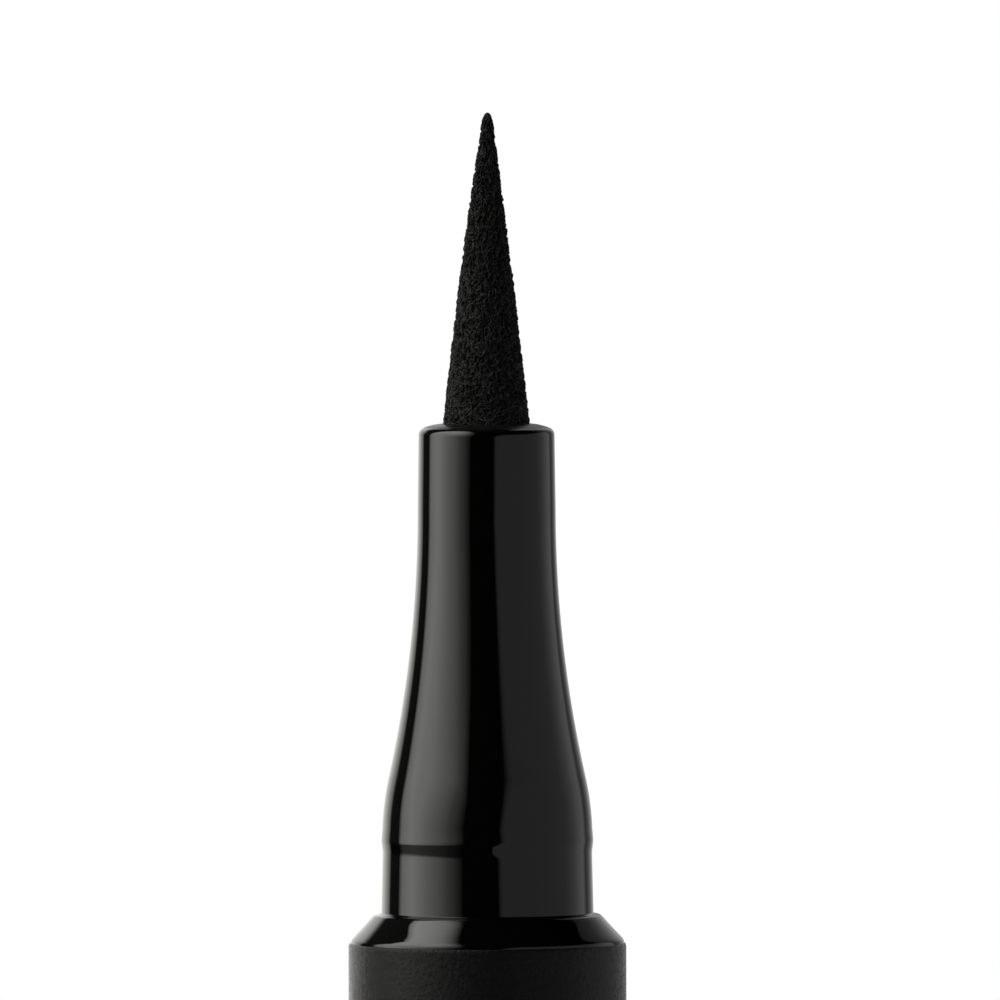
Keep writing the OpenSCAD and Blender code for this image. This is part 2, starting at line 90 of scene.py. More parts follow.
class Graph:
    """A node tree with short calls for the nodes that this scene uses."""

    def __init__(self, tree):
        self.tree = tree
        tree.nodes.clear()

    def node(self, kind, **settings):
        made = self.tree.nodes.new(kind)
        for key, value in settings.items():
            setattr(made, key, value)
        return made

    def link(self, value, socket):
        if isinstance(value, bpy.types.NodeSocket):
            self.tree.links.new(value, socket)
        else:
            socket.default_value = value

    def math(self, operation, a, b=0.0, clamp=False):
        made = self.node("ShaderNodeMath", operation=operation, use_clamp=clamp)
        self.link(a, made.inputs[0])
        self.link(b, made.inputs[1])
        return made.outputs[0]

    def smooth(self, value, start, end, low=0.0, high=1.0):
        made = self.node("ShaderNodeMapRange", interpolation_type="SMOOTHSTEP")
        for socket, given in zip(made.inputs, (value, start, end, low, high)):
            self.link(given, socket)
        return made.outputs[0]

    def ramp(self, value, stops):
        """Brightness along value, through (place, level) stops."""
        start, end = stops[0][0], stops[-1][0]
        share = self.math("DIVIDE", self.math("SUBTRACT", value, start), end - start, clamp=True)
        made = self.node("ShaderNodeFloatCurve")
        curve = made.mapping.curves[0]
        peak = max(level for _, level in stops)
        points = [((place - start) / (end - start), level / peak) for place, level in stops]
        curve.points[0].location = points[0]
        curve.points[-1].location = points[-1]
        for point in points[1:-1]:
            curve.points.new(*point)
        for point in curve.points:
            point.handle_type = "VECTOR"
        made.mapping.update()
        self.link(share, made.inputs["Value"])
        return self.math("MULTIPLY", made.outputs[0], peak)

    def noise(self, vector, scale, detail=2.0, roughness=0.5):
        made = self.node("ShaderNodeTexNoise")
        self.link(vector, made.inputs["Vector"])
        made.inputs["Scale"].default_value = scale
        made.inputs["Detail"].default_value = detail
        made.inputs["Roughness"].default_value = roughness
        return made.outputs["Fac"]

    def place(self, stretch=(1, 1, 1)):
        """The object's own coordinates, in metres, stretched along each axis."""
        source = self.node("ShaderNodeTexCoord").outputs["Object"]
        made = self.node("ShaderNodeMapping")
        made.inputs["Scale"].default_value = stretch
        self.link(source, made.inputs["Vector"])
        return made.outputs[0]

    def bump(self, height, strength, distance):
        made = self.node("ShaderNodeBump")
        made.inputs["Strength"].default_value = strength
        made.inputs["Distance"].default_value = distance
        self.link(height, made.inputs["Height"])
        return made.outputs[0]

    def tint(self, factor, dark, light):
        made = self.node("ShaderNodeMix", data_type="RGBA")
        self.link(factor, made.inputs[0])
        made.inputs[6].default_value = (*dark, 1)
        made.inputs[7].default_value = (*light, 1)
        return made.outputs[2]


# Studio: a soft box on the left, a grey card on the right, black in front, white behind.
# Box and card stand as planes one unit to the side of the pen: u runs from front to back, v upwards.

BOX_LEVEL = 2.75
BOX_FRONT = [(-2.0, 0.0), (-1.55, 0.09), (-1.0, 0.27), (-0.4, 0.69), (-0.1, 0.97), (0.0, 1.0)]
BOX_FRONT_LEAN, BOX_FRONT_RISE = 0.75, 0.6    # the fading front comes forwards with height, up to a limit
BOX_BACK = [(-0.32, 1.0), (-0.03, 0.6), (0.10, 0.012), (3.0, 0.008), (3.4, 0.0)]
BOX_BACK_U, BOX_BACK_LEAN = 0.35, 0.145       # where the back edge stands, and how it leans away
BOX_BACK_SHARPER = 1.2                        # the edge gets sharper with height
BOX_BOTTOM = (-0.20, -0.02, 0.17)             # below it only the dim light from the table is left
BOX_TOP = (4.4, 1.5)
BOX_BRIGHTER = (0.45, 1.0, 1.0, 1.17)         # the box gets brighter with height
CARD_STOPS = [(-2.2, 0.35), (0.1, 0.35), (0.6, 0.6), (0.85, 0.58), (1.1, 0.16), (2.0, 0.1)]
CARD_FRONT, CARD_FRONT_LEAN = (-5.2, -3.0), 2.0
CARD_TOP = (0.60, 0.30)
CARD_BOTTOM = (-0.75, -0.55)
# brightness of the white behind, from straight behind to far aside, and its top edge on either side
WHITE_LEFT = [(0.0, 1.2), (0.55, 1.3), (0.9, 0.8), (1.1, 0.0)]
WHITE_RIGHT = [(0.0, 0.25), (0.2, 0.65), (0.35, 0.5), (0.6, 0.28), (0.8, 0.16), (1.2, 0.11), (1.28, 0.0)]
WHITE_TOP_LEFT, WHITE_TOP_RIGHT = (0.68, 0.42), (1.6, 1.45)
WHITE, WARM_WHITE = (1, 1, 1), (1, 1, 0.955)  # the left side's light is slightly warm
TINY = 0.0001                                 # keeps a divisor off zero
LAMP_POWER, LAMP_SPREAD, LAMP_TURN = 1.1, 70, (-12, -18, 0)    # the last two in degrees
FLOOR_R = 0.5                                 # metres
FLOOR_FADE = (0.18, 0.5)                      # metres from the pen, from solid to clear


def make_world():
    """The studio, by the direction of each ray: it lights the pen, but the camera sees plain white."""
    world = bpy.data.worlds.new("studio")
    world.use_nodes = True
    bpy.context.scene.world = world
    g = Graph(world.node_tree)
    split = g.node("ShaderNodeSeparateXYZ")
    g.link(g.node("ShaderNodeTexCoord").outputs["Generated"], split.inputs[0])
    x, y, z = split.outputs
    aside = g.math("MAXIMUM", g.math("ABSOLUTE", x), TINY)
    u = g.math("DIVIDE", y, aside)
    v = g.math("DIVIDE", z, aside)
    left = g.math("LESS_THAN", x, 0.0)
    right = g.math("SUBTRACT", 1.0, left)

    rise = g.math("MINIMUM", g.math("MAXIMUM", v, 0.0), BOX_FRONT_RISE)
    from_front = g.math("ADD", u, g.math("MULTIPLY", rise, BOX_FRONT_LEAN))
    edge = g.math("ADD", g.math("MULTIPLY", v, BOX_BACK_LEAN), BOX_BACK_U)
    sharper = g.math("ADD", g.math("MULTIPLY", g.math("MAXIMUM", v, 0.0), BOX_BACK_SHARPER), 1.0)
    from_back = g.math("MULTIPLY", g.math("SUBTRACT", u, edge), sharper)
    box = g.math("MULTIPLY", g.ramp(from_front, BOX_FRONT), g.ramp(from_back, BOX_BACK))
    for ends in (BOX_BOTTOM, BOX_TOP, BOX_BRIGHTER):
        box = g.math("MULTIPLY", box, g.smooth(v, *ends))
    box = g.math("MULTIPLY", box, g.math("MULTIPLY", left, BOX_LEVEL))

    card = g.ramp(u, CARD_STOPS)
    for ends in (CARD_TOP, CARD_BOTTOM):
        card = g.math("MULTIPLY", card, g.smooth(z, *ends))
    card_front = g.math("SUBTRACT", u, g.math("MULTIPLY", v, CARD_FRONT_LEAN))
    card = g.math("MULTIPLY", card, g.smooth(card_front, *CARD_FRONT))
    card = g.math("MULTIPLY", card, right)

    behind = g.math("GREATER_THAN", y, 0.0)
    depth = g.math("MAXIMUM", y, TINY)
    spread = g.math("DIVIDE", g.math("ABSOLUTE", x), depth)
    height = g.math("DIVIDE", z, depth)
    backdrop = 0.0
    for side, stops, top in ((left, WHITE_LEFT, WHITE_TOP_LEFT), (right, WHITE_RIGHT, WHITE_TOP_RIGHT)):
        white = g.math("MULTIPLY", g.math("MULTIPLY", g.ramp(spread, stops), g.smooth(height, *top)), side)
        backdrop = g.math("ADD", g.math("MULTIPLY", white, behind), backdrop)

    studio = g.math("MAXIMUM", g.math("MAXIMUM", box, card), backdrop)
    rays = g.node("ShaderNodeLightPath")
    seen = g.math("MAXIMUM", rays.outputs["Is Camera Ray"], rays.outputs["Is Transmission Ray"])
    # what the camera looks at is plain white, also where the soft box would be brighter
    unseen = g.math("SUBTRACT", 1.0, seen)
    strength = g.math("ADD", g.math("MULTIPLY", studio, unseen), seen)
    background = g.node("ShaderNodeBackground")
    g.link(g.tint(g.math("MULTIPLY", left, unseen), WHITE, WARM_WHITE), background.inputs["Color"])
    g.link(strength, background.inputs["Strength"])
    out = g.node("ShaderNodeOutputWorld")
    g.link(background.outputs[0], out.inputs["Surface"])


def make_top_light():
    """Broad light from above for the floor and the matte faces; it leaves no highlight."""
    data = bpy.data.lights.new("top_light", "SUN")
    data.energy = LAMP_POWER
    data.angle = math.radians(LAMP_SPREAD)
    lamp = add_object("top_light", data)
    lamp.rotation_euler = [math.radians(turn) for turn in LAMP_TURN]
    lamp.visible_glossy = False


# Meshes from rings of points

SIDES = 224
SHARP = 32       # degrees; a sharper edge between two faces isn't smoothed over
CORNER_STEP = 4  # degrees of a rounded corner per point


def circle(radius, angle, z, aside=0.0):
    """Points round the axis at height z, an array [side, xyz]."""
    return np.stack([radius * np.cos(angle) + aside, radius * np.sin(angle), np.full(len(angle), z)], 1)


def skin(name, rings, closed):
    """A mesh over rings of points, an array [ring, side, xyz] in mm. A ring on the axis becomes one point."""
    rings = np.asarray(rings, float)
    count, sides = rings.shape[:2]
    points, start, single = [], [], []
    for ring in rings:
        one_point = float(np.hypot(ring[:, 0], ring[:, 1]).max()) < 1e-7
        start.append(sum(len(p) for p in points))
        single.append(one_point)
        points.append(ring[:1] if one_point else ring)
    faces = []
    for i in range(count if closed else count - 1):
        j = (i + 1) % count
        a, b = start[i], start[j]
        if single[i] and single[j]:
            continue
        for s in range(sides):
            t = (s + 1) % sides
            if single[i]:
                faces.append((a, b + t, b + s))
            elif single[j]:
                faces.append((a + s, a + t, b))
            else:
                faces.append((a + s, a + t, b + t, b + s))
    return mesh_piece(name, np.concatenate(points), faces)


def mesh_piece(name, points, faces):
    """A smooth piece from points in mm and faces of three or four corners, turned to face outwards."""
    mesh = bpy.data.meshes.new(name)
    mesh.from_pydata((np.asarray(points) * MM).tolist(), [], faces)
    mesh.update()
    triangles = [face[:3] for face in faces] + [(face[0], *face[2:]) for face in faces if len(face) == 4]
    a, b, c = np.asarray(points)[np.asarray(triangles)].transpose(1, 0, 2)
    volume = (a * np.cross(b, c)).sum()
    if volume < 0:
        mesh.flip_normals()
    mesh.shade_smooth()
    mesh.set_sharp_from_angle(angle=math.radians(SHARP))
    return add_object(name, mesh)


def arc(x, z, r, a, b, steps, stretch=1.0):
    """Points along an arc of radius r round (x, z), from angle a to b in degrees, stretched in height."""
    angles = [math.radians(a + (b - a) * i / steps) for i in range(steps + 1)]
    return [(x + r * math.cos(t), z + r * stretch * math.sin(t)) for t in angles]


def eased(outline):
    """Rounds each corner of a closed outline that is given as (radius, height, rounding)."""
    made = []
    count = len(outline)
    for i, (r, z, *rounding) in enumerate(outline):
        if not rounding:
            made.append((r, z))
            continue
        here = np.array((r, z))
        ways = []
        reach = rounding[0]
        for other in (outline[i - 1], outline[(i + 1) % count]):
            way = np.array(other[:2]) - here
            room = np.linalg.norm(way)
            ways.append(way / room)
            reach = min(reach, room * (0.5 if len(other) > 2 else 0.98))
        a, b = here + ways[0] * reach, here + ways[1] * reach
        turn = 180 - math.degrees(math.acos(max(-1.0, min(1.0, float(ways[0] @ ways[1])))))
        steps = max(4, round(turn / CORNER_STEP))
        for k in range(steps + 1):
            t = k / steps
            made.append(tuple((1 - t) ** 2 * a + 2 * t * (1 - t) * here + t * t * b))
    return made


def lathe(name, outline, body, material, relief=None, sides=SIDES):
    """Turns a closed outline about the pen's axis, to show for the node in the piece's name.

    relief(radius, height, angle) pushes points outwards.
    """
    outline = eased(outline)
    angle = np.linspace(0, 2 * math.pi, sides, endpoint=False)
    rings = []
    for r, z in outline:
        radius = np.full(sides, float(r))
        if relief is not None and r > 0:
            radius = radius + relief(r, z, angle)
        rings.append(circle(radius, angle, z))
    on_axis = outline[0][0] == 0
    piece = skin(name, np.array(rings), closed=not on_axis)
    dress(piece, body, material)
    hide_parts(name.replace("shown_", ""))


def dress(piece, body, material):
    """Gives the piece its material and the body that it rides on."""
    piece.data.materials.append(material)
    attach(piece, body)


# Materials

def shader(name, colour, roughness, metallic=0.0, ior=1.5):
    """A plain material, with its node tree and its surface node for what is added to it."""
    material = bpy.data.materials.new(name)
    material.use_nodes = True
    g = Graph(material.node_tree)
    surface = g.node("ShaderNodeBsdfPrincipled")
    surface.inputs["Base Color"].default_value = (*colour, 1)
    surface.inputs["Roughness"].default_value = roughness
    surface.inputs["Metallic"].default_value = metallic
    surface.inputs["IOR"].default_value = ior
    out = g.node("ShaderNodeOutputMaterial")
    g.link(surface.outputs[0], out.inputs["Surface"])
    return material, g, surface


def gloss_black():
    """Polished black moulding with a little uneven polish. The nose's top is dulled by ink."""
    material, g, surface = shader("gloss_black", (0.0012, 0.0012, 0.0012), 0.04)
    polish = g.noise(g.place((1, 1, 0.3)), 900, 3)
    height = g.node("ShaderNodeSeparateXYZ")
    g.link(g.place(), height.inputs[0])
    dulled = g.smooth(height.outputs[2], (LIP_Z - 0.05) * MM, (LIP_Z + 0.01) * MM, 0.0, 0.34)
    g.link(g.math("ADD", g.smooth(polish, 0.3, 0.75, 0.02, 0.05), dulled), surface.inputs["Roughness"])
    flow = g.noise(g.place((1, 1, 0.06)), 2600, 2)
    g.link(g.bump(flow, 0.12, 0.000004), surface.inputs["Normal"])
    return material


def soft_touch_black():
    """Soft-touch coat: fine grain with specks, and the odd rubbed patch."""
    material, g, surface = shader("soft_touch_black", (0.005, 0.005, 0.005), 0.24)
    surface.inputs["Specular IOR Level"].default_value = 0.17
    grain = g.noise(g.place(), 6000, 4, 0.8)
    rubbed = g.noise(g.place((1, 1, 0.35)), 700, 4, 0.6)
    g.link(g.tint(grain, (0.0028, 0.0028, 0.0029), (0.0044, 0.0044, 0.0046)), surface.inputs["Base Color"])
    worn = g.math("ADD", g.smooth(grain, 0.38, 0.62, 0.08, -0.08), g.smooth(rubbed, 0.35, 0.7, 0.22, 0.16))
    g.link(worn, surface.inputs["Roughness"])
    g.link(g.bump(grain, 1.0, 0.00004), surface.inputs["Normal"])
    return material


def felt_black():
    """Pressed fibre, soaked with ink: near black. Its fibres glint by their gloss and relief, and a lighter
    colour on their crests adds painted highlights.
    """
    material, g, surface = shader("nib_felt", (0.004, 0.004, 0.004), 0.55)
    surface.inputs["Specular IOR Level"].default_value = 0.28
    fibre = g.noise(g.place((1, 1, 0.7)), 13000, 3, 0.65)
    crest = g.smooth(fibre, 0.42, 0.66)
    # lighter colour on the fibres' crests: a painted highlight standing in for glints, beside the real ones
    # from roughness and bumps
    g.link(g.tint(crest, (0.0006, 0.0006, 0.0006), (0.020, 0.020, 0.020)), surface.inputs["Base Color"])
    g.link(g.smooth(fibre, 0.35, 0.7, 0.65, 0.3), surface.inputs["Roughness"])
    g.link(g.bump(fibre, 1.0, 0.0001), surface.inputs["Normal"])
    return material


def plastic(name, dark, light, roughness):
    """Natural moulding with faint mottling and a fine satin skin."""
    material, g, surface = shader(name, light, roughness)
    mottle = g.noise(g.place((1, 1, 0.5)), 1500, 3)
    g.link(g.tint(mottle, dark, light), surface.inputs["Base Color"])
    g.link(g.smooth(mottle, 0.3, 0.7, roughness * 0.85, roughness * 1.15), surface.inputs["Roughness"])
    g.link(g.bump(g.noise(g.place(), 7000, 2), 0.15, 0.000005), surface.inputs["Normal"])
    return material


def steel(name, colour, roughness, stretch, scale):
    """Bright steel with the faint marks of drawing or rolling."""
    material, g, surface = shader(name, colour, roughness, metallic=1.0)
    drawn = g.noise(g.place(stretch), scale, 3)
    g.link(g.tint(drawn, tuple(c * 0.85 for c in colour), colour), surface.inputs["Base Color"])
    g.link(g.smooth(drawn, 0.3, 0.7, roughness * 0.7, roughness * 1.3), surface.inputs["Roughness"])
    g.link(g.bump(drawn, 0.1, 0.000004), surface.inputs["Normal"])
    return material


def fibre_rod():
    """Bonded fibres that run along the rod."""
    material, g, surface = shader("feed_fibre", (0.03, 0.03, 0.03), 0.8)
    strand = g.noise(g.place((1, 1, 0.03)), 12000, 3, 0.6)
    g.link(g.tint(strand, (0.01, 0.01, 0.01), (0.06, 0.06, 0.06)), surface.inputs["Base Color"])
    g.link(g.bump(strand, 0.5, 0.00002), surface.inputs["Normal"])
    return material


def floor_material():
    """Pale floor that fades out to the white studio, so that it has no edge."""
    material, g, surface = shader("floor", (0.86, 0.86, 0.86), 0.7, ior=1.3)
    distance = g.node("ShaderNodeVectorMath", operation="LENGTH")
    g.link(g.place(), distance.inputs[0])
    paper = g.noise(g.place(), 400, 2)
    g.link(g.tint(paper, (0.85, 0.85, 0.85), (0.87, 0.87, 0.87)), surface.inputs["Base Color"])
    clear = g.node("ShaderNodeBsdfTransparent")
    mix = g.node("ShaderNodeMixShader")
    g.link(g.smooth(distance.outputs["Value"], *FLOOR_FADE), mix.inputs[0])
    g.link(surface.outputs[0], mix.inputs[1])
    g.link(clear.outputs[0], mix.inputs[2])
    out = next(n for n in g.tree.nodes if n.bl_idname == "ShaderNodeOutputMaterial")
    g.link(mix.outputs[0], out.inputs["Surface"])
    return material


# The pen's outlines, in mm

FIT_GAP, SLIDE_GAP = 0.02, 0.1
NIB_R, NIB_BELLY, POINT_R = 1.48, 0.05, 0.22
NIB_FOOT, POINT_Z, TIP_Z = 137.27, 155.45, 156.05
SOCKET_R, SOCKET_TOP = 0.82, 139.67
MOUTH_R, MOUTH_EDGE, LIP_Z, NOSE_TOP = 2.35, 0.26, 145.17, 145.27
NECK_R, NECK_Z, BROW_Z, FLARE_SHARE = 2.385, 142.30, 130.95, 0.81
COLLAR_R, COLLAR_DRAFT, COLLAR_H = 3.665, 0.05, 2.05
BEAD_R, UNDERCUT_H, BEAD_H = 3.635, 0.38, 0.17
UNDERCUT_RISE, RIDGE = 0.08, 0.025     # how far the undercut lies above the solid's; ridge on the snap bead
SPREAD_R, SPREAD_H = 0.11, 0.055       # the collar's foot runs out in a low cone
LINE_H, LINE_SPREAD = 0.003, 0.00018   # the mould's parting line: its height, and its spread as a cosine
HOLDER_R, HOLDER_FOOT, HOLDER_TOP = 1.84, 134.27, 139.67
FIN_BORE, CAVITY_Z, PLUG_FOOT, SKIRT_TOP = 3.32, 121.95, 107.55, 123.35
BARREL_R, BORE_R = 4.80, 4.10
EDGE_R, EDGE_STRETCH = 0.06, 2.6       # the barrel's edges are rounded more along the pen than across it
BACK_Z, RIM_Z, SHOULDER_H = 44.35, 127.35, 1.0
FOOT_R, ROUND_R, SMALL_R, SHOULDER_LIP = 4.71, 0.28, 3.90, 0.02
FOOT_PROUD, FOOT_H, SLOPE_HOLLOW = 0.015, 0.085, 0.011    # finer forms of the shoulder's foot and slope
BROW_IN, BROW_UP = 0.07, 0.095         # from the corner of the shoulder's foot to where the slope begins
DOME_STEEP, DOME_LEVEL = 0.40, 0.03    # slopes of the dome in the mouth, at its edge and at the nib
POST_Z, POST_EDGE, POST_WALL, POST_FLOOR, TAIL_SEAT = 35.85, 0.3, 0.8, 1.0, 49.35
CAP_MOUTH, CAP_GAP, CAP_EDGE, SEAT_GAP = 44.0, 0.35, 0.45, 0.16
LINER_FOOT, RIDGE_Z, RIDGE_RISE, LINER_CLEAR = 31.0, 41.30, 0.04, 0.09
STOP_Z, WELL_R, CAP_FLOOR, GUIDE_R, GUIDE_TOP = 28.4, 3.335, 2.4, 1.9, 3.4
DISC_R, DISC_Z, POCKET_H, GATE_R = 3.6, 0.1, 0.9, 0.3

NIB_BORE = NIB_R + FIT_GAP
PLUG_R = BORE_R - FIT_GAP
COLLAR_Z = RIM_Z + SHOULDER_H
FLARE_H = NECK_Z - BROW_Z

SLOPE_H = SHOULDER_H - SHOULDER_LIP
ROUND_MIDDLE = FOOT_R - ROUND_R
SLOPE_TURN = (math.atan2(SLOPE_H, SMALL_R - ROUND_MIDDLE)
              - math.acos(ROUND_R / math.hypot(SMALL_R - ROUND_MIDDLE, SLOPE_H)))
SLOPE = math.tan(SLOPE_TURN)
SLOPE_FOOT_R = ROUND_MIDDLE + ROUND_R * math.cos(SLOPE_TURN)
SLOPE_FOOT_H = ROUND_R * math.sin(SLOPE_TURN)
RECESS_R = SLOPE_FOOT_R - (CAP_GAP - SLOPE_FOOT_H) * SLOPE + SEAT_GAP


def shoulder(z):
    """The shoulder over its foot at height z: upright, round corner, faintly hollow slope, round top."""
    foot_r = FOOT_R + FOOT_PROUD
    brow_r, brow_h = foot_r - BROW_IN, FOOT_H + BROW_UP
    middle_r = (brow_r + SMALL_R) / 2 - SLOPE_HOLLOW * math.cos(SLOPE_TURN)
    middle_h = (brow_h + SHOULDER_H) / 2 - SLOPE_HOLLOW * math.sin(SLOPE_TURN)
    return [(foot_r, z), (foot_r, z + FOOT_H, FOOT_H), (brow_r, z + brow_h, 0.06),
            (middle_r, z + middle_h, 0.35), (SMALL_R, z + SHOULDER_H, 0.13)]


def collar(z):
    """The collar over a shoulder that ends at height z: low cone, wall, undercut, snap bead."""
    top = z + COLLAR_H + UNDERCUT_RISE
    bead = z + COLLAR_H + UNDERCUT_H
    return [(COLLAR_R + SPREAD_R, z + 0.002), (COLLAR_R, z + SPREAD_H, 0.015),
            (COLLAR_R - COLLAR_DRAFT, top + 0.02, 0.10), (BEAD_R + RIDGE, bead + UNDERCUT_RISE, 0.03),
            (BEAD_R + RIDGE, bead + BEAD_H, 0.05)]


def flipped(points, z):
    """The outline mirrored about height z."""
    return [(p[0], 2 * z - p[1], *p[2:]) for p in reversed(points)]


def nose_outline():
    """The nose from its plug in the barrel up to the mouth, and back down its bore."""
    turn = 2 * math.atan((BEAD_R - NECK_R) / FLARE_H)
    total = FLARE_H / math.sin(turn)
    hollow = total * FLARE_SHARE
    brow = total - hollow
    turn = math.degrees(turn)
    holder_bore = HOLDER_R + FIT_GAP
    brow_arc = arc(BEAD_R - brow, BROW_Z, brow, 0, turn, 24)
    hollow_arc = arc(NECK_R + hollow, NECK_Z, hollow, 180 + turn, 180, 72)
    # the brow's first points would lie inside the bead's ridge
    return ([(PLUG_R, PLUG_FOOT, 0.15), (PLUG_R, SKIRT_TOP, 0.04), (COLLAR_R, SKIRT_TOP),
             (COLLAR_R, COLLAR_Z)]
            + collar(COLLAR_Z)
            + brow_arc[4:]
            + hollow_arc[1:]
            + dome()
            + [(NIB_BORE, HOLDER_TOP + FIT_GAP),
               (holder_bore, HOLDER_TOP + FIT_GAP), (holder_bore, HOLDER_FOOT - SLIDE_GAP),
               (FIN_BORE, CAVITY_Z), (FIN_BORE, PLUG_FOOT, 0.1)])


def dome():
    """The mouth's rounded edge and the dome from it to the nib, steep outside and nearly level inside."""
    end = 90 - math.degrees(math.atan(DOME_STEEP))
    made = arc(MOUTH_R - MOUTH_EDGE, LIP_Z - MOUTH_EDGE, MOUTH_EDGE, 0, end, 16)
    r, z = made[-1]
    width = r - NIB_BORE
    for t in np.linspace(0.1, 1, 10):
        rise = DOME_STEEP * t + (DOME_LEVEL - DOME_STEEP) * t * t / 2
        made.append((r - width * t, z + width * rise))
    return made


def parting(r, z, angle):
    """The mould's parting line on both sides of the nose."""
    if r <= HOLDER_R + SLIDE_GAP or z <= COLLAR_Z + SPREAD_H:
        return 0
    return LINE_H * np.exp(-((np.abs(np.cos(angle)) - 1) / LINE_SPREAD) ** 2)


def edge(z, a, b):
    """The outside edge of the barrel or the cap, at its end at height z, from angle a to b."""
    up = 1 if b > a >= 0 else -1
    return arc(BARREL_R - EDGE_R, z - up * EDGE_R * EDGE_STRETCH, EDGE_R, a, b, 10, EDGE_STRETCH)


def recess_z(r):
    """Height at which the recess in the cap's mouth has radius r."""
    return CAP_MOUTH - (RECESS_R - r) / SLOPE


def make_turned(gloss, matte):
    """All the round pieces of the pen and its cap. A third number in an outline rounds that corner."""
    lathe("shown_nose_cone", nose_outline(), "pen", gloss, relief=parting)
    ring_bore, skirt_z = COLLAR_R + FIT_GAP, SKIRT_TOP + FIT_GAP
    lathe("shown_shoulder_ring",
          [(ring_bore, skirt_z), (PLUG_R, skirt_z, 0.05), (PLUG_R, RIM_Z), *shoulder(RIM_Z),
           (ring_bore, COLLAR_Z, 0.02)],
          "pen", gloss)
    lathe("shown_barrel",
          [(BORE_R, BACK_Z, 0.05), *edge(BACK_Z, -90, 0), *edge(RIM_Z, 0, 90), (BORE_R, RIM_Z, 0.05)],
          "pen", matte)
    tail = flipped([*shoulder(BACK_Z), *collar(BACK_Z + SHOULDER_H)], BACK_Z)
    post_bore = COLLAR_R - POST_WALL
    lathe("shown_tail_post",
          [(0, POST_Z), *arc(BEAD_R - POST_EDGE, POST_Z + POST_EDGE, POST_EDGE, -90, 0, 8), *tail,
           (PLUG_R, BACK_Z), (PLUG_R, TAIL_SEAT, 0.1), (post_bore, TAIL_SEAT, 0.1),
           (post_bore, POST_Z + POST_FLOOR, 0.2), (0, POST_Z + POST_FLOOR)],
          "pen", gloss)
    lathe("shown_cap_shell",
          [(0, POCKET_H), (DISC_R, POCKET_H), (DISC_R, 0, 0.06),
           *arc(BARREL_R - CAP_EDGE, CAP_EDGE, CAP_EDGE, -90, 0, 12), *edge(CAP_MOUTH, 0, 90),
           (RECESS_R, CAP_MOUTH, 0.03), (BORE_R, recess_z(BORE_R)), (BORE_R, STOP_Z),
           (WELL_R, STOP_Z, 0.05), (WELL_R, CAP_FLOOR, 0.2), (GUIDE_R, CAP_FLOOR),
           (GUIDE_R, GUIDE_TOP, 0.2), (0, GUIDE_TOP)],
          "cap", matte)
    liner_bore = COLLAR_R + LINER_CLEAR
    lathe("shown_cap_liner",
          [(liner_bore, LINER_FOOT, 0.08), (PLUG_R, LINER_FOOT), (PLUG_R, recess_z(PLUG_R)),
           (liner_bore, recess_z(liner_bore), 0.05), (liner_bore, RIDGE_Z),
           (liner_bore - RIDGE_RISE, RIDGE_Z - UNDERCUT_H / 2, 0.06), (liner_bore, RIDGE_Z - UNDERCUT_H)],
          "cap", gloss)
    rim = DISC_R - FIT_GAP
    lathe("shown_cap_end_disc",
          [(0, DISC_Z + 0.04), (GATE_R - 0.05, DISC_Z + 0.04, 0.03), (GATE_R, DISC_Z, 0.02),
           *arc(rim - EDGE_R, DISC_Z + EDGE_R, EDGE_R, -90, 0, 6), (rim, POCKET_H), (0, POCKET_H)],
          "cap", gloss)


# The felt nib: a grid of points round it, raised by thousands of crossing fibres

NIB_ROWS, NIB_SIDES = 360, 270
FIBRES, FIBRE_STEPS = 6500, 16
FIBRE_LENGTH, FIBRE_WIDTH, FIBRE_HEIGHT = (0.07, 0.26), (0.016, 0.032), (0.35, 1.0)
FIBRE_LEAN, FIBRE_CURL = 55, 1.6              # spread of their directions, and how they curl
FIBRE_RISE, FIBRE_SINK, LUMPS = 0.12, 0.085, 0.035
LUMP_WAVES = 46                               # waves that add up to the uneven skin
STRANDS, STRAND_SIDES, STRAND_RINGS = 140, 5, 7
STRAND_LENGTH, STRAND_LIFT, STRAND_WIDTH = (0.10, 0.30), (0.015, 0.075), (0.008, 0.014)
STRAND_LEAN, STRAND_ROOT = 45, 0.035          # spread of directions, and depth of the root
BEND_Z, BEND = 149.0, 0.06                    # the nib's point leans aside from this height on


def nib_radius(z):
    """Radius of the smooth nib at each height z outside the nose."""
    t = np.clip((z - NOSE_TOP) / (POINT_Z - NOSE_TOP), 0, 1)
    flank = NIB_R + (POINT_R - NIB_R) * t + NIB_BELLY * 4 * t * (1 - t)
    up = np.clip((z - POINT_Z) / (TIP_Z - POINT_Z), 0, 1)
    return np.where(z > POINT_Z, POINT_R * np.sqrt(np.clip(1 - up ** 2, 0, 1)), flank)


def nib_bend(z):
    """How far the nib's axis has moved aside at height z."""
    return BEND * max(0.0, (z - BEND_Z) / (TIP_Z - BEND_Z)) ** 2


